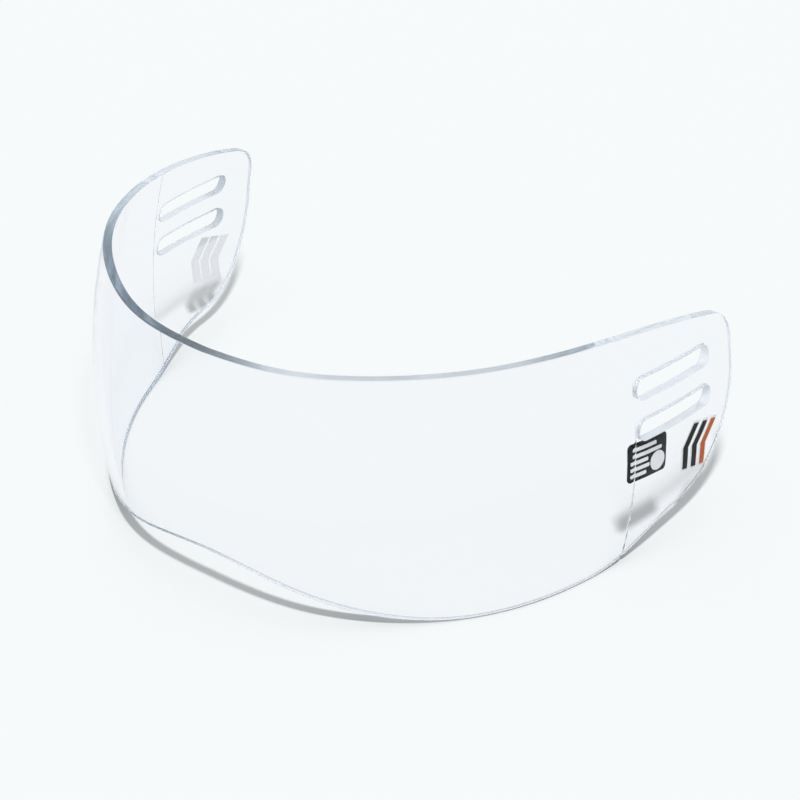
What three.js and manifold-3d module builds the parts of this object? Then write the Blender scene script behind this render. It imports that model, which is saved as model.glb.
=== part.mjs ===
// A clear half visor for an ice hockey helmet: one moulded shield, a label and two ear decals.
// Millimetres, +Z up, brow towards -Y, ears towards +Y, standing on its lower edge.
import * as THREE from 'three';
import { mergeVertices } from 'three/addons/utils/BufferGeometryUtils.js';
import Module from 'manifold-3d';

const wasm = await Module();
wasm.setup();

// Shield: plan, heights and wall
const halfWidth = 110;
const browToGroove = 94;
const earLength = 62.7;
const browHeight = 93.8;
const wall = 3.2;
const earDrop = 23.2;
const earLift = 10.6;
const earCorner = 9.8;
const noseArchHeight = 15.6;
const noseArchHalfWidth = 84;

// Shield: barrel of the wall, which is fullest at its waist
const browBarrelRadius = 345;
const earBarrelRadius = 185;
const browLeanShare = -0.009;
const earLeanShare = -0.11;
const waistShare = 0.533;

// Ear slots, for the two screws that hold the visor to a helmet
const slotWidth = 7.3;
const slotFrontLand = 4.2;
const slotRearLand = 16.2;
const slotTilt = 7;
const upperSlotShare = 0.692;
const lowerSlotShare = 0.529;

// Score line ahead of the slots, which leans back as it rises
const grooveWidth = 1.2;
const grooveDepth = 0.35;
const grooveLean = 1.7;

// Label on the inner face of the right ear
const labelLength = 20.5;
const labelHeight = 15.2;
const labelCorner = 1.8;
const labelFrontGap = 0.4;
const labelTopGap = 1.5;
const labelSlope = 10;
const labelFilm = 0.25;
const labelMargin = 1.2;
const labelPrint = 0.15;

// Decals on the outer faces of both ears: a row of chevrons with white borders
const markHeight = 17;
const markArm = 3.2;
const markReach = 3.8;
const markBorder = 0.9;
const markSpace = 1.4;
const decalDrop = 11.8;
const decalRearLand = 13.3;
const decalTilt = 20;
const decalFilm = 0.15;

// Film clearances: to the wall, and between a film and what is printed on it
const filmGap = 0.1;
const printGap = 0.06;

// Cutting and facets
const overrun = 5;
const columnsPerSide = 42;
const rowCount = 16;
const curveSteps = 24;
const arcSteps = 10;

// Derived places
const earReach = browToGroove + earLength;
const waistHeight = browHeight * waistShare;
const frameShift = earReach / 2;
const slotLength = earLength - slotFrontLand - slotRearLand;
const slotMiddle = browToGroove + slotFrontLand + slotLength / 2;
const upperSlotHeight = browHeight * upperSlotShare;
const lowerSlotHeight = browHeight * lowerSlotShare;
const radians = THREE.MathUtils.degToRad;

// Plan curve of the outer face at the waist, brow centre to ear end
const planShares = [[0, 0], [0.433, 0], [0.435, 0.081], [0.709, 0.174], [1.054, 0.262], [0.996, 1.034]];
const planPoles = planShares.map(([across, back]) => [across * halfWidth, back * earReach]);

// Point of a Bezier curve, by repeated blending between its poles
function curvePoint(poles, share) {
  const blend = (from, to) => to.map((value, k) => from[k] * (1 - share) + value * share);
  let level = poles;
  while (level.length > 1) {
    level = level.slice(1).map((pole, i) => blend(level[i], pole));
  }
  return level[0];
}

// Outward direction of the plan curve, from the slope of its poles
function planNormal(share) {
  const slopes = planPoles.slice(1).map((pole, i) => [pole[0] - planPoles[i][0], pole[1] - planPoles[i][1]]);
  const [across, back] = curvePoint(slopes, share);
  const size = Math.hypot(across, back);
  return [back / size, -across / size];
}

// How far the outer face stands off the plan curve at a height
function barrelOffset(share, height) {
  const rise = height - waistHeight;
  const bend = THREE.MathUtils.lerp(1 / browBarrelRadius, 1 / earBarrelRadius, share);
  const lean = THREE.MathUtils.lerp(browLeanShare, earLeanShare, share);
  return lean * rise - bend * rise * rise / 2;
}

// A point at a signed share round the visor (-1 left ear, +1 right ear), off the outer face
function wallPoint(turn, height, offset) {
  const share = Math.abs(turn);
  const [across, back] = curvePoint(planPoles, share);
  const [normalAcross, normalBack] = planNormal(share);
  const out = barrelOffset(share, height) + offset;
  const side = Math.sign(turn);
  return [side * (across + normalAcross * out), back + normalBack * out, height];
}

// Manifold solid from flat lists of corners and triangles
function solidFrom(corners, triangles) {
  return new wasm.Manifold(new wasm.Mesh({
    numProp: 3,
    vertProperties: new Float32Array(corners),
    triVerts: new Uint32Array(triangles),
  }));
}

// Closed sheet of wall between two offsets, over whole columns of the plan
function wallSheet(outerOffset, innerOffset, firstColumn, lastColumn) {
  const corners = [];
  const triangles = [];
  const columns = lastColumn - firstColumn + 1;
  const top = browHeight + overrun;
  for (const offset of [outerOffset, innerOffset]) {
    for (let i = 0; i < columns; i++) {
      for (let j = 0; j <= rowCount; j++) {
        const height = THREE.MathUtils.lerp(-overrun, top, j / rowCount);
        corners.push(...wallPoint((firstColumn + i) / columnsPerSide, height, offset));
      }
    }
  }
  const corner = (face, i, j) => (face * columns + i) * (rowCount + 1) + j;
  const quad = (a, b, c, d) => triangles.push(a, b, c, a, c, d);
  for (let i = 0; i < columns - 1; i++) {
    for (let j = 0; j < rowCount; j++) {
      quad(corner(0, i, j), corner(0, i + 1, j), corner(0, i + 1, j + 1), corner(0, i, j + 1));
      quad(corner(1, i, j), corner(1, i, j + 1), corner(1, i + 1, j + 1), corner(1, i + 1, j));
    }
    quad(corner(0, i, rowCount), corner(0, i + 1, rowCount),
      corner(1, i + 1, rowCount), corner(1, i, rowCount));
    quad(corner(0, i, 0), corner(1, i, 0), corner(1, i + 1, 0), corner(0, i + 1, 0));
  }
  for (let j = 0; j < rowCount; j++) {
    const last = columns - 1;
    quad(corner(0, 0, j), corner(0, 0, j + 1), corner(1, 0, j + 1), corner(1, 0, j));
    quad(corner(0, last, j), corner(1, last, j), corner(1, last, j + 1), corner(0, last, j + 1));
  }
  return solidFrom(corners, triangles);
}

// Solid from a closed three.js geometry
function solidFromGeometry(source) {
  const bare = source.clone();
  bare.deleteAttribute('normal');
  bare.deleteAttribute('uv');
  const merged = mergeVertices(bare);
  return solidFrom(merged.attributes.position.array, merged.index.array);
}

// Prism of a side-view outline (across = Y, up = Z), from one X to another
function sidePrism(shape, fromX, toX) {
  const geometry = new THREE.ExtrudeGeometry(shape, {
    depth: toX - fromX,
    bevelEnabled: false,
    curveSegments: curveSteps,
  });
  const alongX = new THREE.Matrix4().makeBasis(
    new THREE.Vector3(0, 1, 0), new THREE.Vector3(0, 0, 1), new THREE.Vector3(1, 0, 0));
  geometry.applyMatrix4(alongX);
  geometry.translate(fromX, 0, 0);
  return solidFromGeometry(geometry);
}

// Height of the top edge at a distance behind the brow
const topDropPower = 2.7;
function topHeight(back) {
  return browHeight - earDrop * Math.pow(Math.max(back, 0) / earReach, topDropPower);
}

// Side view: flat foot, rise to the ear, swept rear edge, and the falling top edge
const footEndShare = 0.51;
const riseEaseShare = 0.638;
const riseSettleShare = 0.677;
const riseEndShare = 0.817;
const sweepStartShare = 0.925;
const sweepLowShare = 0.34;
const rearWaistShare = 0.53;
const edgeCreepShare = 0.1;

function sideOutline() {
  const outline = new THREE.Shape();
  const creep = earLift * edgeCreepShare;
  const cornerBack = earReach - earCorner;
  const cornerTop = topHeight(earReach);
  outline.moveTo(-overrun, 0);
  outline.lineTo(footEndShare * earReach, 0);
  outline.bezierCurveTo(
    riseEaseShare * earReach, 0,
    riseSettleShare * earReach, earLift - creep,
    riseEndShare * earReach, earLift);
  outline.bezierCurveTo(
    sweepStartShare * earReach, earLift + creep,
    earReach, sweepLowShare * browHeight,
    earReach, rearWaistShare * browHeight);
  outline.lineTo(earReach, cornerTop - earCorner);
  outline.quadraticCurveTo(earReach, cornerTop, cornerBack, topHeight(cornerBack));
  for (let i = 1; i <= curveSteps; i++) {
    const back = cornerBack * (1 - i / curveSteps);
    outline.lineTo(back, topHeight(back));
  }
  outline.lineTo(-overrun, browHeight);
  return outline;
}

// Front view of the room for the nose under the brow, cut from front to back
function noseArchCut() {
  const outline = new THREE.Shape();
  outline.moveTo(noseArchHalfWidth, -overrun);
  for (let i = 0; i <= 2 * curveSteps; i++) {
    const share = 1 - i / curveSteps;
    const height = noseArchHeight * (1 + Math.cos(Math.PI * share)) / 2;
    outline.lineTo(share * noseArchHalfWidth, height);
  }
  outline.lineTo(-noseArchHalfWidth, -overrun);
  const geometry = new THREE.ExtrudeGeometry(outline, { depth: browToGroove + overrun, bevelEnabled: false });
  const towardsBrow = new THREE.Matrix4().makeBasis(
    new THREE.Vector3(1, 0, 0), new THREE.Vector3(0, 0, 1), new THREE.Vector3(0, -1, 0));
  geometry.applyMatrix4(towardsBrow);
  geometry.translate(0, browToGroove, 0);
  return solidFromGeometry(geometry);
}

// Outline turned about its own middle and set at a place in the side view
function placedOutline(points, back, height, tilt) {
  const turn = -radians(tilt);
  const placed = points.map(([along, up]) => new THREE.Vector2(
    back + along * Math.cos(turn) - up * Math.sin(turn),
    height + along * Math.sin(turn) + up * Math.cos(turn)));
  return new THREE.Shape(placed);
}

// Corner points of an outline whose four corners are arcs
function roundedRectangle(length, height, radius) {
  const points = [];
  const centres = [[1, 1, 0], [-1, 1, 90], [-1, -1, 180], [1, -1, 270]];
  for (const [sideAlong, sideUp, start] of centres) {
    for (let i = 0; i <= arcSteps; i++) {
      const angle = radians(start + 90 * i / arcSteps);
      points.push([
        sideAlong * (length / 2 - radius) + radius * Math.cos(angle),
        sideUp * (height / 2 - radius) + radius * Math.sin(angle),
      ]);
    }
  }
  return points;
}

// Points of an outline with two straight sides and half-round ends
function obround(length, width) {
  const radius = width / 2;
  const points = [];
  for (const [side, start] of [[1, -90], [-1, 90]]) {
    for (let i = 0; i <= 2 * arcSteps; i++) {
      const angle = radians(start + 90 * i / arcSteps);
      points.push([side * (length / 2 - radius) + radius * Math.cos(angle), radius * Math.sin(angle)]);
    }
  }
  return points;
}

// A slot runs straight across the visor and cuts both ears in line
function slotCut(height) {
  const outline = placedOutline(obround(slotLength, slotWidth), slotMiddle, height, slotTilt);
  return sidePrism(outline, -halfWidth - overrun, halfWidth + overrun);
}

// Shallow score line down the outer face of both ears
function grooveCut() {
  const skin = wallSheet(overrun, -grooveDepth, -columnsPerSide, columnsPerSide);
  const top = browHeight + overrun;
  const grooveTop = browToGroove + top * Math.tan(radians(grooveLean));
  const line = new THREE.Shape([
    new THREE.Vector2(browToGroove - grooveWidth / 2, -overrun),
    new THREE.Vector2(browToGroove + grooveWidth / 2, -overrun),
    new THREE.Vector2(grooveTop + grooveWidth / 2, top),
    new THREE.Vector2(grooveTop - grooveWidth / 2, top),
  ]);
  return skin.intersect(sidePrism(line, -halfWidth - 2 * overrun, halfWidth + 2 * overrun));
}

function shieldSolid() {
  const reach = halfWidth + 2 * overrun;
  return wallSheet(0, -wall, -columnsPerSide, columnsPerSide)
    .intersect(sidePrism(sideOutline(), -reach, reach))
    .subtract(noseArchCut())
    .subtract(slotCut(upperSlotHeight))
    .subtract(slotCut(lowerSlotHeight))
    .subtract(grooveCut());
}

// Thin film that follows one ear, cut to an outline in the side view
const earStartShare = 0.7;
function earFilm(side, shape, outerOffset, innerOffset) {
  const startColumn = Math.round(columnsPerSide * earStartShare);
  const columns = side > 0 ? [startColumn, columnsPerSide] : [-columnsPerSide, -startColumn];
  const sheet = wallSheet(outerOffset, innerOffset, ...columns);
  const reach = halfWidth + 2 * overrun;
  const prism = side > 0 ? sidePrism(shape, 0, reach) : sidePrism(shape, -reach, 0);
  return sheet.intersect(prism);
}

// Materials
const clear = new THREE.MeshStandardMaterial({
  color: 0xdfeaf2, roughness: 0.04, metalness: 0, transparent: true, opacity: 0.35,
});
const black = new THREE.MeshStandardMaterial({ color: 0x17181a, roughness: 0.4, metalness: 0 });
const white = new THREE.MeshStandardMaterial({ color: 0xf2f3f3, roughness: 0.45, metalness: 0 });
const orange = new THREE.MeshStandardMaterial({ color: 0xc65a28, roughness: 0.4, metalness: 0 });

const visor = new THREE.Group();
visor.position.set(0, -frameShift, 0);

// Named mesh of a finished solid
function addPiece(name, solid, material) {
  const { vertProperties, triVerts, numProp } = solid.getMesh();
  const geometry = new THREE.BufferGeometry();
  const positions = new Float32Array(vertProperties.length / numProp * 3);
  for (let i = 0; i < positions.length / 3; i++) {
    positions.set(vertProperties.subarray(i * numProp, i * numProp + 3), i * 3);
  }
  geometry.setAttribute('position', new THREE.BufferAttribute(positions, 3));
  geometry.setIndex(new THREE.BufferAttribute(new Uint32Array(triVerts), 1));
  geometry.computeVertexNormals();
  const mesh = new THREE.Mesh(geometry, material);
  mesh.name = name;
  visor.add(mesh);
}

// Label: film with its plain bars and disc printed on the face against the wall
const printOuter = -wall - filmGap;
const printInner = printOuter - labelPrint;
const labelOuter = printInner - printGap;
const labelBack = browToGroove + labelFrontGap + labelLength / 2;
const slotFallAtLabel = (labelBack - slotMiddle) * Math.tan(radians(slotTilt));
const labelUp = lowerSlotHeight - slotFallAtLabel - slotWidth / 2 - labelTopGap - labelHeight / 2;
const labelFall = Math.tan(radians(labelSlope));

// Five rows: two long bars, then three short bars beside a disc as high as their rows
const labelRows = 5;
const discRows = 3;
const barHeightShare = 0.55;
const longBarShares = [[0.06, 0.74], [0.06, 0.9]];
const shortBarShares = [[0, 0.86], [0, 0.94], [0, 0.78]];
const labelRoomLength = labelLength - 2 * labelMargin;
const labelRowPitch = (labelHeight - 2 * labelMargin) / labelRows;
const labelBarHeight = labelRowPitch * barHeightShare;
const labelDiscRadius = labelRowPitch * discRows / 2;
const shortBarRoom = labelRoomLength - 2 * labelDiscRadius;

// Outline on the label, whose ends stand upright while its rows fall to the rear
function labelShape(points) {
  return new THREE.Shape(points.map(([along, up]) => new THREE.Vector2(
    labelBack + along, labelUp + up - along * labelFall)));
}

function addLabel() {
  const film = labelShape(roundedRectangle(labelLength, labelHeight, labelCorner));
  addPiece('label_film', earFilm(1, film, labelOuter, labelOuter - labelFilm), black);
  [...longBarShares, ...shortBarShares].forEach(([start, end], row) => {
    const room = row < longBarShares.length ? labelRoomLength : shortBarRoom;
    const middle = room * (start + end) / 2 - labelRoomLength / 2;
    const height = ((labelRows - 1) / 2 - row) * labelRowPitch;
    const bar = roundedRectangle(room * (end - start), labelBarHeight, labelBarHeight / 3)
      .map(([along, up]) => [along + middle, up + height]);
    addPiece(`label_bar_${row + 1}`, earFilm(1, labelShape(bar), printOuter, printInner), white);
  });
  const discAlong = labelRoomLength / 2 - labelDiscRadius;
  const discHeight = (discRows - labelRows) / 2 * labelRowPitch;
  const disc = [];
  for (let i = 0; i < 4 * arcSteps; i++) {
    const angle = 2 * Math.PI * i / (4 * arcSteps);
    disc.push([
      discAlong + labelDiscRadius * Math.cos(angle),
      discHeight + labelDiscRadius * Math.sin(angle),
    ]);
  }
  addPiece('label_disc', earFilm(1, labelShape(disc), printOuter, printInner), white);
}

// Chevron that points to the brow, with its tip at the origin, grown by a border
function chevron(border) {
  const slope = Math.atan2(markHeight / 2, markReach);
  const grow = border / Math.sin(slope);
  const halfHeight = markHeight / 2 + border;
  const run = halfHeight / Math.tan(slope);
  return [
    [-grow, 0], [run - grow, -halfHeight], [run + markArm + grow, -halfHeight],
    [markArm + grow, 0], [run + markArm + grow, halfHeight], [run - grow, halfHeight],
  ];
}

// Decal: three bordered chevrons in a row, the same on both ears
const markPitch = markArm + 2 * markBorder + markSpace;
const markRoom = 2 * markPitch + markArm + markReach;
const decalBack = earReach - decalRearLand - markRoom - markBorder;
const slotFallAtDecal = (decalBack - slotMiddle) * Math.tan(radians(slotTilt));
const decalUp = lowerSlotHeight - slotFallAtDecal - slotWidth / 2 - decalDrop;
const markMaterials = [black, black, orange];

function addDecal(side, sideName) {
  markMaterials.forEach((material, i) => {
    const at = (outline) => placedOutline(
      outline.map(([along, up]) => [along + i * markPitch, up]), decalBack, decalUp, decalTilt);
    const backing = earFilm(side, at(chevron(markBorder)), filmGap + decalFilm, filmGap);
    const printFoot = filmGap + decalFilm + printGap;
    const mark = earFilm(side, at(chevron(0)), printFoot + decalFilm, printFoot);
    addPiece(`${sideName}_decal_border_${i + 1}`, backing, white);
    addPiece(`${sideName}_decal_chevron_${i + 1}`, mark, material);
  });
}

addPiece('visor_shield', shieldSolid(), clear);
addLabel();
addDecal(1, 'right');
addDecal(-1, 'left');

export default visor;
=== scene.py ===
import math

import bpy
import numpy as np
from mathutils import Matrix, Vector
from mathutils.geometry import delaunay_2d_cdt


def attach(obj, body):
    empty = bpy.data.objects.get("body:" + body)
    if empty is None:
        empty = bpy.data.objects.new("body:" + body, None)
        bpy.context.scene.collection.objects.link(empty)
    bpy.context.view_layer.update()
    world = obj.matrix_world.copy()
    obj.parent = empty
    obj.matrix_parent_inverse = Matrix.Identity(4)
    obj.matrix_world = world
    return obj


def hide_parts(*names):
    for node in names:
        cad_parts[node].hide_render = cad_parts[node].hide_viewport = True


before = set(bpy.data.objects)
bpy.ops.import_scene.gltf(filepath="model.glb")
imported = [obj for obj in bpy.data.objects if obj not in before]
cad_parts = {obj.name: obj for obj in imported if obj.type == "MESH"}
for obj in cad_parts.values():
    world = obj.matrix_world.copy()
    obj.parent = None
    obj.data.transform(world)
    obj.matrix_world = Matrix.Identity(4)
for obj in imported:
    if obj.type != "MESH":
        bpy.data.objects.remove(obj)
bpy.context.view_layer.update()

# Metres in a millimetre: the shield's shape is in millimetres, its looks and the scene are in metres
MM = 0.001

# Shield: plan, heights and wall, as the solid has them
HALF_WIDTH = 110.0
BROW_TO_GROOVE = 94.0
EAR_LENGTH = 62.7
EAR_REACH = BROW_TO_GROOVE + EAR_LENGTH
BROW_HEIGHT = 93.8
WALL = 3.2
EAR_DROP = 23.2
EAR_LIFT = 10.6
EAR_CORNER = 9.8
NOSE_ARCH_HEIGHT = 15.6
NOSE_ARCH_HALF_WIDTH = 84.0
BROW_BARREL_RADIUS = 345.0
EAR_BARREL_RADIUS = 185.0
BROW_LEAN = -0.009
EAR_LEAN = -0.11
TOP_DROP_POWER = 2.7
WAIST_SHARE = 0.533
WAIST_HEIGHT = BROW_HEIGHT * WAIST_SHARE

# The frame's middle lies halfway between the brow and the rear ends of the ears
FRAME_SHIFT = EAR_REACH / 2

# Ear slots and score line
SLOT_WIDTH = 7.3
SLOT_FRONT_LAND = 4.2
SLOT_REAR_LAND = 16.2
SLOT_TILT = math.radians(7.0)
SLOT_HEIGHT_SHARES = (0.692, 0.529)
SLOT_LENGTH = EAR_LENGTH - SLOT_FRONT_LAND - SLOT_REAR_LAND
SLOT_MIDDLE = BROW_TO_GROOVE + SLOT_FRONT_LAND + SLOT_LENGTH / 2
GROOVE_WIDTH = 1.2
GROOVE_DEPTH = 0.35
GROOVE_LEAN = math.tan(math.radians(1.7))
GROOVE_POWER = 5

# Plan of the outer face at the waist: poles of a Bezier curve, in shares of the half width and the reach
PLAN_SHARES = ((0, 0), (0.433, 0), (0.435, 0.081), (0.709, 0.174), (1.054, 0.262), (0.996, 1.034))

# Side view of the lower and rear edges, in shares of the reach and of the ear's lift or brow height
FOOT_END_SHARE = 0.51
RISE_SHARES = ((FOOT_END_SHARE, 0.0), (0.638, 0.0), (0.677, 0.9), (0.817, 1.0))
SWEEP_START_SHARE = 0.925
SWEEP_LIFT_SHARE = 1.1
SWEEP_LOW_SHARE = 0.34
REAR_WAIST_SHARE = 0.53

# Rounding of the cut edges, and how much of the score line's own relief the shading shows
EDGE_RADIUS = 0.42
GROOVE_SHARPNESS = 0.25

# Points of the mesh along each stretch of the outline and of a slot
PLAN_COUNT = 1601
BROW_COUNT = 84
EAR_TOP_COUNT = 27
CORNER_COUNT = 18
REAR_COUNT = 6
SWEEP_COUNT = 36
RISE_CURVE_COUNT = 401
BEHIND_COUNT = 18
AHEAD_COUNT = 8
FOOT_COUNT = 22
ARCH_COUNT = 36
SLOT_END_COUNT = 17
SLOT_SIDE_COUNT = 16
EDGE_STEPS = 5

# Rounds in which the top edge's height settles on the barrel's own depth
TOP_ROUNDS = 4

# Points across the score line, in shares of its width, and the gaps kept beside it along both edges
GROOVE_STEP_SHARES = (-0.56, -0.5, -0.45, -0.38, -0.25, 0.0, 0.25, 0.38, 0.45, 0.5, 0.56)
TOP_NEAR_GAP = 0.45
TOP_GAP = 1
LOW_GAP = 0.5

# Points within the faces: rings inside each edge, lines down the score line and a net of even triangles
RINGS = (0.35, 1.2)
RING_GAP_SHARE = 0.7
LINE_STEP = 1.0
LINE_GAP = 0.5
LINE_BREAK = 4
SPACING = 2.6
ROW_SHARE = 0.866
NET_GAP_SHARE = 0.55
MERGE_DISTANCE = 1e-6
POINTS_AT_ONCE = 500
NORMAL_STEP = 0.02

# Material slots of the shield
WALL_SLOT, RIM_SLOT, SCORED_SLOT, LOW_SLOT, PALE_SLOT, CONTACT_SLOT = range(6)

# How far down from the top an edge counts as the rim, and how far ahead of the rear as the rear edge
RIM_REACH = 1.5
REAR_EDGE_REACH = EAR_CORNER / 2


def bezier(poles, share):
    """Points of a Bezier curve at the given shares."""
    share = np.asarray(share, float)[..., None]
    level = [np.asarray(p, float) for p in poles]
    while len(level) > 1:
        level = [a * (1 - share) + b * share for a, b in zip(level, level[1:])]
    return level[0]


PLAN = np.array(PLAN_SHARES) * [HALF_WIDTH, EAR_REACH]
ALONG_PLAN = np.linspace(0, 1, PLAN_COUNT)
PLAN_STEPS = np.linalg.norm(np.diff(bezier(PLAN, ALONG_PLAN), axis=0), axis=1)
ARC = np.concatenate([[0], np.cumsum(PLAN_STEPS)])


def unit(vectors):
    """The vectors at a length of one."""
    return vectors / np.linalg.norm(vectors, axis=-1, keepdims=True)


def steps(start, end, count):
    """Values from start towards end, end left out."""
    return start + (end - start) * np.arange(count) / count


def groove_back(height):
    """How far back the score line lies at a height."""
    return BROW_TO_GROOVE + height * GROOVE_LEAN


def groove_knots(height):
    """How far back the points across the score line lie at a height."""
    return groove_back(height) + np.array(GROOVE_STEP_SHARES) * GROOVE_WIDTH


def top_height(back):
    """Height of the top edge, which falls towards the ears."""
    return BROW_HEIGHT - EAR_DROP * (np.maximum(back, 0) / EAR_REACH) ** TOP_DROP_POWER


def wall_point(s, z, offset, groove=False):
    """Points of the wall at arc length s (left ear negative), height z and offset off the outer face."""
    s, z, offset = np.broadcast_arrays(*(np.asarray(value, float) for value in (s, z, offset)))
    share = np.interp(np.abs(s), ARC, ALONG_PLAN)
    plan = bezier(PLAN, share)
    slope = unit(bezier(np.diff(PLAN, axis=0), share))
    rise = z - WAIST_HEIGHT
    bend = 1 / BROW_BARREL_RADIUS * (1 - share) + 1 / EAR_BARREL_RADIUS * share
    lean = BROW_LEAN * (1 - share) + EAR_LEAN * share
    out = lean * rise - bend * rise * rise / 2 + offset
    if groove:
        back = plan[..., 1] - slope[..., 0] * out
        away = np.clip(np.abs(back - groove_back(z)) / (GROOVE_WIDTH / 2), 0, 1)
        out = out - GROOVE_DEPTH * (1 - away**GROOVE_POWER)
    side = np.where(s < 0, -1.0, 1.0)
    x = side * (plan[..., 0] + slope[..., 1] * out)
    y = plan[..., 1] - slope[..., 0] * out
    return np.stack([x, y, z], axis=-1)


def wall_normal(s, z, offset, groove=False):
    """Outward directions of the wall's face."""
    along = wall_point(s + NORMAL_STEP, z, offset, groove) - wall_point(s - NORMAL_STEP, z, offset, groove)
    up = wall_point(s, z + NORMAL_STEP, offset, groove) - wall_point(s, z - NORMAL_STEP, offset, groove)
    return unit(np.cross(along, up))


def arc_at(axis, values, heights, offset):
    """Arc length at which the right of a face reaches a value of x (axis 0) or y (1) at each height."""
    found = []
    for value, height in zip(np.atleast_1d(values), np.atleast_1d(heights)):
        line = wall_point(ARC, height, offset)[:, axis]
        last = int(np.argmax(line)) + 1
        first = int(np.argmin(line[:last]))
        found.append(np.interp(value, line[first:last], ARC[first:last]))
    return np.array(found)


def top_edge(offset):
    """Top edge of the right half, from the brow to the ear's corner, as arc length and height."""
    knots = groove_knots(top_height(BROW_TO_GROOVE))
    knot_arcs = arc_at(1, knots, top_height(knots), offset)
    corner_back = EAR_REACH - EAR_CORNER
    corner_arc = arc_at(1, corner_back, top_height(corner_back), offset)[0]
    s = np.concatenate([
        steps(0, knot_arcs[0] - TOP_GAP, BROW_COUNT), [knot_arcs[0] - TOP_NEAR_GAP], knot_arcs,
        [knot_arcs[-1] + TOP_NEAR_GAP], steps(knot_arcs[-1] + TOP_GAP, corner_arc, EAR_TOP_COUNT)])
    z = np.full_like(s, BROW_HEIGHT)
    for _ in range(TOP_ROUNDS):
        z = top_height(wall_point(s, z, offset)[:, 1])
    return np.stack([s, z], axis=1)


def side_edge():
    """Side view of the right ear, from its top corner down the rear to the foot, as depth and height."""
    corner_back = EAR_REACH - EAR_CORNER
    corner_top = top_height(EAR_REACH)
    waist = REAR_WAIST_SHARE * BROW_HEIGHT
    corner_poles = ((corner_back, top_height(corner_back)), (EAR_REACH, corner_top),
                    (EAR_REACH, corner_top - EAR_CORNER))
    corner = bezier(corner_poles, steps(0, 1, CORNER_COUNT))
    rear_heights = steps(corner_top - EAR_CORNER, waist, REAR_COUNT)
    rear = np.stack([np.full_like(rear_heights, EAR_REACH), rear_heights], axis=1)
    rise_poles = [(a * EAR_REACH, b * EAR_LIFT) for a, b in RISE_SHARES]
    rise = bezier(rise_poles, np.linspace(0, 1, RISE_CURVE_COUNT))
    sweep_poles = (rise_poles[-1], (SWEEP_START_SHARE * EAR_REACH, EAR_LIFT * SWEEP_LIFT_SHARE),
                   (EAR_REACH, SWEEP_LOW_SHARE * BROW_HEIGHT), (EAR_REACH, waist))
    sweep = bezier(sweep_poles, 1 - steps(0, 1, SWEEP_COUNT))
    knots = groove_knots(np.interp(BROW_TO_GROOVE, rise[:, 0], rise[:, 1]))
    behind = steps(rise[-1, 0], knots[-1] + LOW_GAP, BEHIND_COUNT)
    ahead = steps(knots[0] - LOW_GAP, rise[0, 0], AHEAD_COUNT)
    back = np.concatenate([behind, [knots[-1] + LOW_GAP], knots[::-1], [knots[0] - LOW_GAP], ahead[1:]])
    rising = np.stack([back, np.interp(back, rise[:, 0], rise[:, 1])], axis=1)
    return np.concatenate([corner, rear, sweep, rising])


def half_outline(offset):
    """Right half of the outline, as arc length and height, from the top of the brow round to its foot."""
    side = side_edge()
    foot = steps(arc_at(1, FOOT_END_SHARE * EAR_REACH, 0, offset)[0],
                 arc_at(0, NOSE_ARCH_HALF_WIDTH, 0, offset)[0], FOOT_COUNT)
    across = steps(NOSE_ARCH_HALF_WIDTH, 0, ARCH_COUNT)
    arch = NOSE_ARCH_HEIGHT * (1 + np.cos(math.pi * across / NOSE_ARCH_HALF_WIDTH)) / 2
    return np.concatenate([
        top_edge(offset),
        np.stack([arc_at(1, side[:, 0], side[:, 1], offset), side[:, 1]], axis=1),
        np.stack([foot, np.zeros_like(foot)], axis=1),
        np.stack([arc_at(0, across, arch, offset), arch], axis=1),
        np.array([[0, NOSE_ARCH_HEIGHT]])])


def slot_outline(height, offset):
    """A slot of the right ear, as arc length and height."""
    radius = SLOT_WIDTH / 2
    reach = SLOT_LENGTH / 2 - radius
    stretches = []
    for side, start in ((1, -90), (-1, 90)):
        angle = np.radians(start + np.linspace(0, 180, SLOT_END_COUNT))
        stretches.append(np.stack([side * reach + radius * np.cos(angle), radius * np.sin(angle)], axis=1))
        straight = steps(side * reach, -side * reach, SLOT_SIDE_COUNT)[1:]
        stretches.append(np.stack([straight, np.full_like(straight, side * radius)], axis=1))
    shape = np.concatenate(stretches)
    turn = -SLOT_TILT
    back = SLOT_MIDDLE + shape[:, 0] * math.cos(turn) - shape[:, 1] * math.sin(turn)
    up = height + shape[:, 0] * math.sin(turn) + shape[:, 1] * math.cos(turn)
    return np.stack([arc_at(1, back, up, offset), up], axis=1)


def wound(loop, anticlockwise):
    """The loop, turned round if need be."""
    following = np.roll(loop, -1, axis=0)
    area = np.sum(loop[:, 0] * following[:, 1] - following[:, 0] * loop[:, 1])
    return loop if (area > 0) == anticlockwise else loop[::-1]


def all_loops(offset):
    """The outline and the four slots, each with the wall on its left."""
    half = half_outline(offset)
    mirrored = half[1:-1][::-1] * [-1, 1]
    loops = [wound(np.concatenate([half, mirrored]), True)]
    for share in SLOT_HEIGHT_SHARES:
        slot = slot_outline(BROW_HEIGHT * share, offset)
        loops.append(wound(slot, False))
        loops.append(wound(slot * [-1, 1], False))
    return loops


def inset(loop, distance):
    """The loop moved into the wall."""
    before = loop - np.roll(loop, 1, axis=0)
    after = np.roll(loop, -1, axis=0) - loop
    inward_before, inward_after = (unit(np.stack([-d[:, 1], d[:, 0]], axis=1)) for d in (before, after))
    middle = unit(inward_before + inward_after)
    return loop + middle * distance / np.sum(middle * inward_before, axis=1, keepdims=True)


def all_inset(loops):
    """The loops moved into the wall by the rounding of its edges."""
    return [inset(loop, EDGE_RADIUS) for loop in loops]


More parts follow.
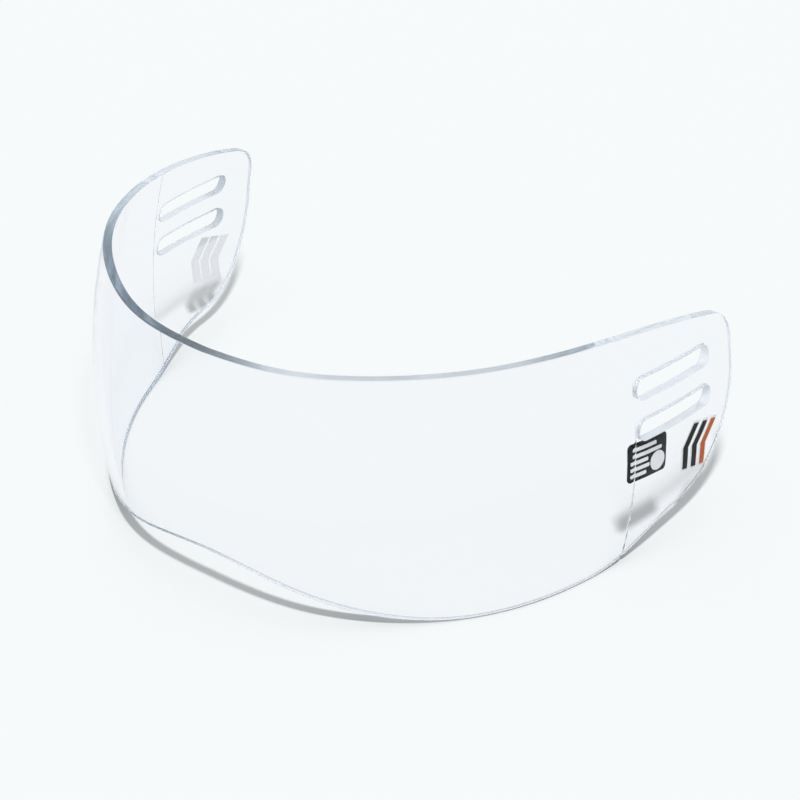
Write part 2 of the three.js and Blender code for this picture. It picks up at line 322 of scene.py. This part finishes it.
def within(points, loop):
    """Which points lie inside a closed loop."""
    inside = np.zeros(len(points), bool)
    for (ax, ay), (bx, by) in zip(loop, np.roll(loop, -1, axis=0)):
        if ay != by:
            crosses = ((ay > points[:, 1]) != (by > points[:, 1])) & (
                points[:, 0] < (bx - ax) * (points[:, 1] - ay) / (by - ay) + ax)
            inside ^= crosses
    return inside


def in_wall(points, loops):
    """Which points lie inside the outline and outside the slots."""
    inside = within(points, loops[0])
    for loop in loops[1:]:
        inside &= ~within(points, loop)
    return inside


def far_from(points, others, distance):
    """Which points lie further than a distance from all others."""
    keep = np.ones(len(points), bool)
    for i in range(0, len(points), POINTS_AT_ONCE):
        gaps = np.linalg.norm(points[i:i + POINTS_AT_ONCE, None] - others[None], axis=2)
        keep[i:i + POINTS_AT_ONCE] = gaps.min(axis=1) > distance
    return keep


def groove_lines(offset):
    """Points down the score line of both ears, on the outer face."""
    heights = np.arange(LINE_STEP, BROW_HEIGHT, LINE_STEP)
    lines = []
    for share in GROOVE_STEP_SHARES:
        s = arc_at(1, groove_back(heights) + share * GROOVE_WIDTH, heights, offset)
        lines += [np.stack([side * s, heights], axis=1) for side in (1, -1)]
    return lines


def net(loops):
    """Points of even triangles over the wall."""
    across = np.arange(-ARC[-1], ARC[-1], SPACING)
    rows = [np.stack([across + SPACING / 2 * (number % 2), np.full_like(across, height)], axis=1)
            for number, height in enumerate(np.arange(0, BROW_HEIGHT, SPACING * ROW_SHARE))]
    points = np.concatenate(rows)
    return points[in_wall(points, loops)]


def patch(loops, lines):
    """Points and triangles of one face of the wall: the loops' points come first, in order."""
    points = [*loops]
    edges = []
    count = 0
    for loop in loops:
        n = len(loop)
        edges += [(count + i, count + (i + 1) % n) for i in range(n)]
        count += n
    for line in lines:
        kept = line[in_wall(line, loops)]
        kept = kept[far_from(kept, np.concatenate(loops), LINE_GAP)]
        points.append(kept)
        gaps = np.linalg.norm(np.diff(kept, axis=0), axis=1)
        edges += [(count + i, count + i + 1) for i in range(len(kept) - 1) if gaps[i] < LINE_BREAK]
        count += len(kept)
    placed = np.concatenate(points)
    for distance in RINGS:
        ring = np.concatenate([inset(loop, distance) for loop in loops])
        ring = ring[in_wall(ring, loops)]
        placed = np.concatenate([placed, ring[far_from(ring, placed, distance * RING_GAP_SHARE)]])
    grid = net(loops)
    placed = np.concatenate([placed, grid[far_from(grid, placed, SPACING * NET_GAP_SHARE)]])
    vectors = [Vector(p) for p in placed]
    out, _, faces, origin, _, _ = delaunay_2d_cdt(vectors, edges, [], 0, MERGE_DISTANCE, True)
    if len(out) != len(placed):
        raise RuntimeError(f"triangulation changed the points: {len(placed)} to {len(out)}")
    triangles = np.array([[origin[i][0] for i in f] for f in faces])
    triangles = triangles[in_wall(placed[triangles].mean(axis=1), loops)]
    a, b, c = (placed[triangles[:, k]] for k in range(3))
    area = (b - a)[:, 0] * (c - a)[:, 1] - (b - a)[:, 1] * (c - a)[:, 0]
    triangles[area < 0] = triangles[area < 0][:, ::-1]
    return placed, triangles


def outer_normals(points):
    """Shading directions of the outer face, in which the score line's own relief is softened."""
    scored = wall_normal(points[:, 0], points[:, 1], 0.0, groove=True)
    plain = wall_normal(points[:, 0], points[:, 1], 0.0)
    return unit(GROOVE_SHARPNESS * scored + (1 - GROOVE_SHARPNESS) * plain)


def rounding(start, corner, end, share):
    """Points of the rounded corner from start to end."""
    return start * (1 - share) ** 2 + 2 * corner * share * (1 - share) + end * share * share


def edge_rows(face_outer, face_inner, loop_outer, loop_inner):
    """Rows of points round a cut edge, from the outer face to the inner one, without the faces' own."""
    corner_outer = wall_point(loop_outer[:, 0], loop_outer[:, 1], 0.0, groove=True)
    corner_inner = wall_point(loop_inner[:, 0], loop_inner[:, 1], -WALL)
    across = unit(corner_inner - corner_outer)
    flat_outer = corner_outer + across * EDGE_RADIUS
    flat_inner = corner_inner - across * EDGE_RADIUS
    shares = np.linspace(0, 1, EDGE_STEPS + 1)
    return [*(rounding(face_outer, corner_outer, flat_outer, share) for share in shares[1:]),
            (flat_outer + flat_inner) / 2,
            *(rounding(flat_inner, corner_inner, face_inner, share) for share in shares[:-1])]


def edge_slots(points):
    """Material slot of each piece of the outline's edge: rim, rear edge or lower edge."""
    place = wall_point(points[:, 0], points[:, 1], 0.0)
    on_top = points[:, 1] > top_height(place[:, 1]) - RIM_REACH
    at_rear = place[:, 1] > EAR_REACH - REAR_EDGE_REACH
    return np.where(at_rear, PALE_SLOT, np.where(on_top, RIM_SLOT, LOW_SLOT))


def strip_slot(kind, on_right, strip):
    """Material slot of one strip round an edge: the right lower edge's two roundings have their own."""
    if kind != LOW_SLOT or not on_right:
        return kind
    # The right lower edge's outer rounding takes the edge with the painted contact shadow
    if strip < EDGE_STEPS:
        return CONTACT_SLOT
    return PALE_SLOT if strip > EDGE_STEPS + 1 else LOW_SLOT


def build_shield():
    """The wall as one closed mesh: two faces, and the rounded edges of the outline and the slots."""
    edges_outer = all_loops(0.0)
    edges_inner = all_loops(-WALL)
    outer_points, outer_triangles = patch(all_inset(edges_outer), groove_lines(0.0))
    inner_points, inner_triangles = patch(all_inset(edges_inner), [])
    outer = wall_point(outer_points[:, 0], outer_points[:, 1], 0.0, groove=True)
    inner = wall_point(inner_points[:, 0], inner_points[:, 1], -WALL)
    vertices = [outer, inner]
    normals = [outer_normals(outer_points), -wall_normal(inner_points[:, 0], inner_points[:, 1], -WALL)]
    faces = [tuple(f) for f in outer_triangles] + [tuple(f[::-1] + len(outer)) for f in inner_triangles]
    middles = outer[outer_triangles].mean(axis=1)
    scored = np.abs(middles[:, 1] - groove_back(middles[:, 2])) < GROOVE_WIDTH / 2
    slots = [SCORED_SLOT if line else WALL_SLOT for line in scored] + [WALL_SLOT] * len(inner_triangles)
    start = 0
    count = len(outer) + len(inner)
    for number, (loop_outer, loop_inner) in enumerate(zip(edges_outer, edges_inner)):
        n = len(loop_outer)
        kinds = np.full(n, PALE_SLOT) if number else edge_slots(loop_outer)
        face_outer = outer[start:start + n]
        face_inner = inner[start:start + n]
        rows = edge_rows(face_outer, face_inner, loop_outer, loop_inner)
        across_rows = np.gradient(np.stack([face_outer, *rows, face_inner]), axis=0)[1:-1]
        for row, across in zip(rows, across_rows):
            normals.append(unit(np.cross(across, np.roll(row, -1, axis=0) - np.roll(row, 1, axis=0))))
        first = np.arange(start, start + n)
        ids = [first, *(np.arange(n) + count + n * k for k in range(len(rows))), first + len(outer)]
        vertices += rows
        count += n * len(rows)
        for strip, (low, high) in enumerate(zip(ids, ids[1:])):
            for k in range(n):
                m = (k + 1) % n
                faces.append((low[k], high[k], high[m], low[m]))
                slots.append(strip_slot(int(kinds[k]), loop_outer[k, 0] > 0, strip))
        start += n
    corners = np.concatenate(vertices) - [0, FRAME_SHIFT, 0]
    mesh = bpy.data.meshes.new("shield_wall")
    mesh.from_pydata((corners * MM).tolist(), [], [tuple(int(i) for i in f) for f in faces])
    mesh.polygons.foreach_set("material_index", slots)
    mesh.polygons.foreach_set("use_smooth", [True] * len(mesh.polygons))
    mesh.update()
    mesh.normals_split_custom_set_from_vertices(np.concatenate(normals).tolist())
    piece = bpy.data.objects.new("shield_wall", mesh)
    bpy.context.scene.collection.objects.link(piece)
    return piece


# Rays that reach a lamp or carry plain bounced light, and rays that are looked along
SHADE_RAYS = ("Is Shadow Ray", "Is Diffuse Ray")
SEEN_RAYS = ("Is Camera Ray", "Is Glossy Ray", "Is Transmission Ray")

# Stretch of a noise between which its blend runs
NOISE_ENDS = (0.3, 0.7)


def new_tree(owner):
    """Empty node tree of a material, lamp or world."""
    owner.use_nodes = True
    owner.node_tree.nodes.clear()
    return owner.node_tree.nodes, owner.node_tree.links


def maths(nodes, links, operation, *terms):
    """Math node on numbers or sockets; its result."""
    node = nodes.new("ShaderNodeMath")
    node.operation = operation
    for socket, term in zip(node.inputs, terms):
        if isinstance(term, (int, float)):
            socket.default_value = term
        else:
            links.new(term, socket)
    return node.outputs[0]


def rays(nodes, links, names):
    """One on the named kinds of ray, nought on others."""
    path = nodes.new("ShaderNodeLightPath")
    total = path.outputs[names[0]]
    for name in names[1:]:
        total = maths(nodes, links, "MAXIMUM", total, path.outputs[name])
    return total


def noise(nodes, links, scale, detail, stretch=(1, 1, 1)):
    """Noise over the object's own coordinates, in turns per metre."""
    place = nodes.new("ShaderNodeTexCoord")
    mapping = nodes.new("ShaderNodeMapping")
    mapping.inputs["Scale"].default_value = stretch
    links.new(place.outputs["Object"], mapping.inputs["Vector"])
    texture = nodes.new("ShaderNodeTexNoise")
    texture.inputs["Scale"].default_value = scale
    texture.inputs["Detail"].default_value = detail
    links.new(mapping.outputs["Vector"], texture.inputs["Vector"])
    return texture.outputs["Fac"]


def between(nodes, links, source, low, high, ends=NOISE_ENDS):
    """Source, from one of the ends to the other, spread over low to high."""
    spread = nodes.new("ShaderNodeMapRange")
    for name, value in (("From Min", ends[0]), ("From Max", ends[1]), ("To Min", low), ("To Max", high)):
        spread.inputs[name].default_value = value
    links.new(source, spread.inputs["Value"])
    return spread.outputs["Result"]


def around(nodes, links, source, middle, share):
    """Source spread over a share of the middle value to either side of it."""
    return between(nodes, links, source, middle * (1 - share), middle * (1 + share))


def bump(nodes, links, source, depth, strength):
    """Fine relief from a source, as a shading direction."""
    relief = nodes.new("ShaderNodeBump")
    relief.inputs["Distance"].default_value = depth
    relief.inputs["Strength"].default_value = strength
    links.new(source, relief.inputs["Height"])
    return relief.outputs["Normal"]


def blend_colour(nodes, links, share, first, second):
    """First colour, going to the second as share grows."""
    mix = nodes.new("ShaderNodeMix")
    mix.data_type = "RGBA"
    mix.inputs["A"].default_value = (*first, 1)
    mix.inputs["B"].default_value = (*second, 1)
    links.new(share, mix.inputs["Factor"])
    return mix.outputs["Result"]


def blend_shader(nodes, links, share, first, second):
    """First shader, going to the second as share grows."""
    mix = nodes.new("ShaderNodeMixShader")
    links.new(share, mix.inputs["Fac"])
    links.new(first, mix.inputs[1])
    links.new(second, mix.inputs[2])
    return mix.outputs["Shader"]


def below(nodes, links, axis, ends):
    """One up to the first of ends along an axis of the object, nought from the second on."""
    place = nodes.new("ShaderNodeTexCoord")
    parts = nodes.new("ShaderNodeSeparateXYZ")
    links.new(place.outputs["Object"], parts.inputs["Vector"])
    return between(nodes, links, parts.outputs[axis], 1.0, 0.0, ends)


def near(nodes, links, point, ends):
    """One up to the first of ends away from a point of the object, nought from the second on."""
    place = nodes.new("ShaderNodeTexCoord")
    away = nodes.new("ShaderNodeVectorMath")
    away.operation = "DISTANCE"
    away.inputs[1].default_value = point
    links.new(place.outputs["Object"], away.inputs[0])
    return between(nodes, links, away.outputs["Value"], 1.0, 0.0, ends)


def set_surface(nodes, links, shader):
    """The shader as the material's surface."""
    links.new(shader, nodes.new("ShaderNodeOutputMaterial").inputs["Surface"])


def see_through(nodes, links, seen, passed, lost, kept):
    """The seen shader, clear to a lamp's light, which it tints as passed, going to kept as lost grows."""
    clear = nodes.new("ShaderNodeBsdfTransparent")
    links.new(blend_colour(nodes, links, lost, passed, kept), clear.inputs["Color"])
    shaded = rays(nodes, links, SHADE_RAYS)
    set_surface(nodes, links, blend_shader(nodes, links, shaded, seen, clear.outputs["BSDF"]))


# Clear wall: how it bends, tints and passes light, and how reflection and loss grow towards grazing
CLEAR_IOR = 1.585
WALL_TINT = (0.982, 0.985, 0.994)
WALL_PASSED = (0.995, 0.996, 0.997)
SCORED_PASSED = (0.9, 0.91, 0.92)
NONE_PASSED = (0.0, 0.0, 0.0)
REFLECT_POWER = 2.0
GRAZE_BLEND = 0.5
GRAZE_POWER = 45.0
HAZE_NOISE = (60, 5, (1, 1, 3))
HAZE_ROUGH = (0.01, 0.05)


def grazing(nodes, links):
    """Share of a lamp's light lost by a polished face: all of it where the light runs along the face."""
    facing = nodes.new("ShaderNodeLayerWeight")
    facing.inputs["Blend"].default_value = GRAZE_BLEND
    return maths(nodes, links, "POWER", facing.outputs["Facing"], GRAZE_POWER)


def wall_material(name, passed):
    """Polished polycarbonate: refraction, and a faintly hazed reflection that grows towards grazing."""
    material = bpy.data.materials.new(name)
    nodes, links = new_tree(material)
    fresnel = nodes.new("ShaderNodeFresnel")
    fresnel.inputs["IOR"].default_value = CLEAR_IOR
    share = maths(nodes, links, "POWER", fresnel.outputs["Fac"], REFLECT_POWER)
    through = nodes.new("ShaderNodeBsdfRefraction")
    through.inputs["Color"].default_value = (*WALL_TINT, 1)
    through.inputs["Roughness"].default_value = 0.0
    through.inputs["IOR"].default_value = CLEAR_IOR
    shine = nodes.new("ShaderNodeBsdfAnisotropic")
    shine.inputs["Color"].default_value = (1, 1, 1, 1)
    haze = noise(nodes, links, *HAZE_NOISE)
    links.new(between(nodes, links, haze, *HAZE_ROUGH), shine.inputs["Roughness"])
    seen = blend_shader(nodes, links, share, through.outputs["BSDF"], shine.outputs["BSDF"])
    see_through(nodes, links, seen, passed, grazing(nodes, links), NONE_PASSED)
    return material


# Cut edges: roughness of their glass and satin, and the drag of the buffing along them
RIM_ROUGH = 0.13
LOW_ROUGH = 0.14
PALE_ROUGH = 0.15
ROUGH_SPREAD = 0.2
SATIN_ROUGH = (0.3, 0.42)
DRAG_NOISE = (90, 4, (1, 1, 6))

# Cut edges: tint of the glass, and colour and share of the satin, plain and where shade or a contact shadow
# is painted on them
RIM_LOOK = {"tint": (0.88, 0.94, 0.985), "satin": (0.6, 0.68, 0.76), "share": 0.06}
RIM_PAINTED_SHADE_LOOK = {"tint": (0.38, 0.54, 0.72), "satin": (0.3, 0.4, 0.5), "share": 0.1}
PALE_LOOK = {"tint": (0.92, 0.96, 0.985), "satin": (0.86, 0.89, 0.95), "share": 0.72}
LOW_EDGE_PAINTED_SHADE_LOOK = {"tint": (0.17, 0.38, 0.60), "satin": (0.12, 0.22, 0.32), "share": 0.12}
SLOT_END_PAINTED_SHADE_LOOK = {"tint": (0.72, 0.78, 0.82), "satin": (0.5, 0.56, 0.62), "share": 0.6}
CONTACT_PAINTED_SHADOW_LOOK = {"tint": (0.4, 0.5, 0.6), "satin": (0.02, 0.025, 0.03), "share": 0.95}

# Cut edges: a lamp's light let through near the foot and high up, and where the lamp faces the foot
EDGE_PASSED_LOW = (0.03, 0.045, 0.06)
EDGE_PASSED_HIGH = (0.95, 0.955, 0.96)
EDGE_SHADE_HEIGHTS = (0.03, 0.06)
LIT_EDGE_PLACE = (0.078, -0.045, 0.0)
LIT_EDGE_REACH = (0.005, 0.03)
LIT_EDGE_LIGHT = 0.35

# Painted shade on the rim: a darker, bluer tint at its left bend, and some at its rear end on the left ear
RIM_BEND_PLACE = (-0.045, -0.062, 0.0938)
RIM_BEND_REACH = (0.02, 0.05)
RIM_END_PLACE = (-0.107, 0.068, 0.073)
RIM_END_REACH = (0.004, 0.016)
RIM_END_SHADE = 0.6

# Painted shade on the lower edge: a darker, bluer tint at its left front, and where the right ear leaves
# the floor
FRONT_ENDS = (0.01, 0.05)
SHADED_ENDS = (-0.045, 0.012)
EAR_SHADE_PLACE = (0.1, 0.028, 0.02)
EAR_SHADE_REACH = (0.012, 0.032)

# Painted shade on the slots: a darker tint at the rear ends of the left ear's
SLOT_SHADE_SIDE = (-0.09, -0.08)
SLOT_SHADE_BACK = (0.05, 0.062)
SLOT_SHADE_REAR = (0.066, 0.07)

# Painted contact shadow on the lower edge's outer rounding: near-black satin along the right of the foot
# and under the right ear
CONTACT_ENDS = (-0.02, 0.01)
CONTACT_HEIGHTS = (0.0015, 0.004)
CONTACT_SHARE = 0.8
CONTACT_PLACE = (0.107, 0.02, 0.0)
CONTACT_REACH = (0.022, 0.045)


def lowness(nodes, links):
    """One near the foot, less where the lamp faces it, nought high up, where light comes out again."""
    lit = near(nodes, links, LIT_EDGE_PLACE, LIT_EDGE_REACH)
    kept = maths(nodes, links, "MULTIPLY_ADD", lit, -LIT_EDGE_LIGHT, 1.0)
    return maths(nodes, links, "MULTIPLY", below(nodes, links, "Z", EDGE_SHADE_HEIGHTS), kept)


def rim_shade(nodes, links):
    """Mask of the rim's painted shade: one on its left bend, some at the rear end of the left ear's rim,
    nought elsewhere.
    """
    end = maths(nodes, links, "MULTIPLY", near(nodes, links, RIM_END_PLACE, RIM_END_REACH), RIM_END_SHADE)
    return maths(nodes, links, "MAXIMUM", end, near(nodes, links, RIM_BEND_PLACE, RIM_BEND_REACH))


def low_shade(nodes, links):
    """Mask of the lower edge's painted shade: one at its left front and where the right ear leaves the
    floor, nought elsewhere.
    """
    ahead = below(nodes, links, "Y", FRONT_ENDS)
    left = maths(nodes, links, "MULTIPLY", ahead, below(nodes, links, "X", SHADED_ENDS))
    return maths(nodes, links, "MAXIMUM", left, near(nodes, links, EAR_SHADE_PLACE, EAR_SHADE_REACH))


def slot_shade(nodes, links):
    """Mask of the slots' painted shade: one at the rear ends of the left ear's slots, nought elsewhere."""
    left = below(nodes, links, "X", SLOT_SHADE_SIDE)
    rear = maths(nodes, links, "SUBTRACT", 1.0, below(nodes, links, "Y", SLOT_SHADE_BACK))
    inside = below(nodes, links, "Y", SLOT_SHADE_REAR)
    return maths(nodes, links, "MULTIPLY", maths(nodes, links, "MULTIPLY", left, rear), inside)


def contact_shade(nodes, links):
    """Mask of the painted contact shadow: one under the right ear, some along the right of the foot, nought
    elsewhere.
    """
    right = maths(nodes, links, "SUBTRACT", CONTACT_SHARE, below(nodes, links, "X", CONTACT_ENDS))
    foot = maths(nodes, links, "MULTIPLY", right, below(nodes, links, "Z", CONTACT_HEIGHTS))
    return maths(nodes, links, "MAXIMUM", foot, near(nodes, links, CONTACT_PLACE, CONTACT_REACH))


def edge_material(name, rough, plain, painted_shade_look, shade):
    """Cut and buffed edge: glass with a faint drag and a share of satin, plain, or darkened by painted
    shade where the shade mask says.
    """
    material = bpy.data.materials.new(name)
    nodes, links = new_tree(material)
    drag = noise(nodes, links, *DRAG_NOISE)
    share = shade(nodes, links)
    glass = nodes.new("ShaderNodeBsdfPrincipled")
    links.new(blend_colour(nodes, links, share, plain["tint"], painted_shade_look["tint"]), glass.inputs["Base Color"])
    links.new(around(nodes, links, drag, rough, ROUGH_SPREAD), glass.inputs["Roughness"])
    glass.inputs["IOR"].default_value = CLEAR_IOR
    glass.inputs["Transmission Weight"].default_value = 1.0
    satin = nodes.new("ShaderNodeBsdfPrincipled")
    links.new(blend_colour(nodes, links, share, plain["satin"], painted_shade_look["satin"]), satin.inputs["Base Color"])
    links.new(between(nodes, links, drag, *SATIN_ROUGH), satin.inputs["Roughness"])
    satin_share = between(nodes, links, share, plain["share"], painted_shade_look["share"], (0.0, 1.0))
    seen = blend_shader(nodes, links, satin_share, glass.outputs["BSDF"], satin.outputs["BSDF"])
    see_through(nodes, links, seen, EDGE_PASSED_HIGH, lowness(nodes, links), EDGE_PASSED_LOW)
    return material


# Printed films: ink, the colour that its grain goes to, and roughness
FILM_LOOKS = {
    "black": ((0.006, 0.0065, 0.007), (0.010, 0.0105, 0.011), 0.4),
    "white": ((0.93, 0.935, 0.94), (0.88, 0.89, 0.90), 0.45),
    "orange": ((0.58, 0.13, 0.032), (0.50, 0.11, 0.028), 0.42)}
INK_NOISE = (900, 3)
INK_DEPTH = 0.00002
INK_RELIEF = 0.15
GLOSS_NOISE = (120, 2)
GLOSS_SPREAD = 0.15
FILM_SPECULAR = 0.05


def film_material(name, ink, worn, rough):
    """Printed film: a fine grain in its ink and its surface, and a cloud in its gloss."""
    material = bpy.data.materials.new(name)
    nodes, links = new_tree(material)
    grain = noise(nodes, links, *INK_NOISE)
    cloud = noise(nodes, links, *GLOSS_NOISE)
    paint = nodes.new("ShaderNodeBsdfPrincipled")
    colour = blend_colour(nodes, links, between(nodes, links, grain, 0, 1), ink, worn)
    links.new(colour, paint.inputs["Base Color"])
    links.new(around(nodes, links, cloud, rough, GLOSS_SPREAD), paint.inputs["Roughness"])
    links.new(bump(nodes, links, grain, INK_DEPTH, INK_RELIEF), paint.inputs["Normal"])
    paint.inputs["Specular IOR Level"].default_value = FILM_SPECULAR
    set_surface(nodes, links, paint.outputs["BSDF"])
    return material


def film_of(name):
    """The film that a node is printed in, if it is one."""
    if name == "label_film":
        return "black"
    if name.startswith("label_") or "border" in name:
        return "white"
    if "chevron" in name:
        return "orange" if name.endswith("3") else "black"
    return None


# Shield, with its materials in the order of its slots
shield = build_shield()
for shield_material in (
        wall_material("clear_wall", WALL_PASSED),
        edge_material("polished_rim", RIM_ROUGH, RIM_LOOK, RIM_PAINTED_SHADE_LOOK, rim_shade),
        wall_material("scored_line", SCORED_PASSED),
        edge_material("lower_edge", LOW_ROUGH, PALE_LOOK, LOW_EDGE_PAINTED_SHADE_LOOK, low_shade),
        edge_material("satin_edge", PALE_ROUGH, PALE_LOOK, SLOT_END_PAINTED_SHADE_LOOK, slot_shade),
        edge_material("contact_edge", LOW_ROUGH, PALE_LOOK, CONTACT_PAINTED_SHADOW_LOOK, contact_shade)):
    shield.data.materials.append(shield_material)
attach(shield, "root")
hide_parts("visor_shield")

# Label and decals
films = {name: film_material(f"film_{name}", *look) for name, look in FILM_LOOKS.items()}
for name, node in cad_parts.items():
    film = film_of(name)
    if film:
        node.data.materials.clear()
        node.data.materials.append(films[film])

# Bounces enough for light that travels along inside the wall
WALL_BOUNCES = 40
OTHER_BOUNCES = 32
scene = bpy.context.scene
scene.view_settings.view_transform = "Standard"
scene.cycles.max_bounces = WALL_BOUNCES
scene.cycles.transmission_bounces = WALL_BOUNCES
scene.cycles.glossy_bounces = OTHER_BOUNCES
scene.cycles.transparent_max_bounces = OTHER_BOUNCES

# Camera: its place round the target, and its focal length in pixels of an 800-pixel picture
CAMERA_AZIMUTH = math.radians(35.6328)
CAMERA_ELEVATION = math.radians(33.6743)
CAMERA_TARGET = Vector((0.02885, -0.00780, 0.0500))
CAMERA_DISTANCE = 0.7253
PICTURE_WIDTH = 800
FOCAL_PIXELS = 2129.3
SENSOR_WIDTH = 36.0
CLIP_START = 0.01
CLIP_END = 50


def make_camera():
    """Camera at the viewing angle of the photograph."""
    data = bpy.data.cameras.new("camera")
    data.sensor_width = SENSOR_WIDTH
    data.lens = SENSOR_WIDTH * FOCAL_PIXELS / PICTURE_WIDTH
    data.clip_start = CLIP_START
    data.clip_end = CLIP_END
    camera = bpy.data.objects.new("camera", data)
    scene.collection.objects.link(camera)
    towards_camera = Vector((
        math.sin(CAMERA_AZIMUTH) * math.cos(CAMERA_ELEVATION),
        -math.cos(CAMERA_AZIMUTH) * math.cos(CAMERA_ELEVATION),
        math.sin(CAMERA_ELEVATION)))
    camera.location = CAMERA_TARGET + towards_camera * CAMERA_DISTANCE
    camera.rotation_mode = "QUATERNION"
    camera.rotation_quaternion = (-towards_camera).to_track_quat("-Z", "Y")
    scene.camera = camera


# Lamp: small and round, at the front right, with a light that doesn't fall off with distance
LAMP_PLACE = Vector((0.31, -0.30, 0.80))
LAMP_RADIUS = 0.04
LAMP_COLOUR = (1.0, 1.0, 1.0)
# A white face square to the lamp is this bright
LAMP_LEVEL = 0.64
LAMP_ENERGY = 4 * math.pi * math.pi * LAMP_LEVEL


def make_lamp():
    """The one lamp, which shows in no reflection and not through the wall."""
    data = bpy.data.lights.new("lamp", "POINT")
    data.shadow_soft_size = LAMP_RADIUS
    data.energy = LAMP_ENERGY
    lamp = bpy.data.objects.new("lamp", data)
    scene.collection.objects.link(lamp)
    lamp.location = LAMP_PLACE
    lamp.visible_glossy = False
    lamp.visible_transmission = False
    nodes, links = new_tree(data)
    falloff = nodes.new("ShaderNodeLightFalloff")
    falloff.inputs["Strength"].default_value = 1.0
    shine = nodes.new("ShaderNodeEmission")
    shine.inputs["Color"].default_value = (*LAMP_COLOUR, 1)
    links.new(falloff.outputs["Constant"], shine.inputs["Strength"])
    links.new(shine.outputs["Emission"], nodes.new("ShaderNodeOutputLight").inputs["Surface"])


# World: plain pale light, seen at the backdrop's level
WORLD_COLOUR = (0.95, 0.975, 1.0)
WORLD_LEVEL = 0.44
WORLD_SEEN = 0.95


def make_world():
    """Pale light from all round."""
    world = bpy.data.worlds.new("studio")
    scene.world = world
    nodes, links = new_tree(world)
    sky = nodes.new("ShaderNodeBackground")
    sky.inputs["Color"].default_value = (*WORLD_COLOUR, 1)
    seen = rays(nodes, links, SEEN_RAYS)
    level = maths(nodes, links, "MULTIPLY_ADD", seen, WORLD_SEEN - WORLD_LEVEL, WORLD_LEVEL)
    links.new(level, sky.inputs["Strength"])
    links.new(sky.outputs["Background"], nodes.new("ShaderNodeOutputWorld").inputs["Surface"])


# Floor: pale table top, just under the foot, whose edge would lose its inner reflection in the same plane
FLOOR_REACH = 3.0
FLOOR_GAP = 0.0001
FLOOR_COLOUR = (0.84, 0.862, 0.87)
FLOOR_SEEN = (0.930, 0.957, 0.965)
FLOOR_NOISE = (40, 4)
FLOOR_SPREAD = 0.002


def floor_glow(nodes, links):
    """Colour that brings the lit floor to its seen level, nought where it is brighter already."""
    position = nodes.new("ShaderNodeNewGeometry")
    distance = nodes.new("ShaderNodeVectorMath")
    distance.operation = "DISTANCE"
    distance.inputs[1].default_value = LAMP_PLACE
    links.new(position.outputs["Position"], distance.inputs[0])
    # A level face gets the lamp's level times the lamp's height over its distance
    lit = maths(nodes, links, "DIVIDE", LAMP_LEVEL * LAMP_PLACE.z, distance.outputs["Value"])
    parts = []
    for colour, seen, lamp, world in zip(FLOOR_COLOUR, FLOOR_SEEN, LAMP_COLOUR, WORLD_COLOUR):
        part = maths(nodes, links, "MULTIPLY_ADD", lit, -colour * lamp, seen - colour * WORLD_LEVEL * world)
        parts.append(maths(nodes, links, "MAXIMUM", part, 0.0))
    glow = nodes.new("ShaderNodeCombineColor")
    for part, socket in zip(parts, glow.inputs):
        links.new(part, socket)
    return glow.outputs["Color"]


def floor_material():
    """Plain pale table top, whose own glow evens out the lamp's light over it."""
    material = bpy.data.materials.new("table_top")
    nodes, links = new_tree(material)
    diffuse = nodes.new("ShaderNodeBsdfDiffuse")
    dim, bright = ([c * (1 + spread) for c in FLOOR_COLOUR] for spread in (-FLOOR_SPREAD, FLOOR_SPREAD))
    colour = blend_colour(nodes, links, noise(nodes, links, *FLOOR_NOISE), dim, bright)
    links.new(colour, diffuse.inputs["Color"])
    glow = nodes.new("ShaderNodeEmission")
    links.new(floor_glow(nodes, links), glow.inputs["Color"])
    links.new(rays(nodes, links, SEEN_RAYS), glow.inputs["Strength"])
    add = nodes.new("ShaderNodeAddShader")
    links.new(diffuse.outputs["BSDF"], add.inputs[0])
    links.new(glow.outputs["Emission"], add.inputs[1])
    set_surface(nodes, links, add.outputs["Shader"])
    return material


def make_floor():
    """Plain square floor."""
    mesh = bpy.data.meshes.new("floor")
    corners = [(x * FLOOR_REACH, y * FLOOR_REACH, 0) for x, y in ((-1, -1), (1, -1), (1, 1), (-1, 1))]
    mesh.from_pydata(corners, [], [(0, 1, 2, 3)])
    floor = bpy.data.objects.new("floor", mesh)
    floor.location.z = -FLOOR_GAP
    scene.collection.objects.link(floor)
    mesh.materials.append(floor_material())


make_camera()
make_lamp()
make_world()
make_floor()
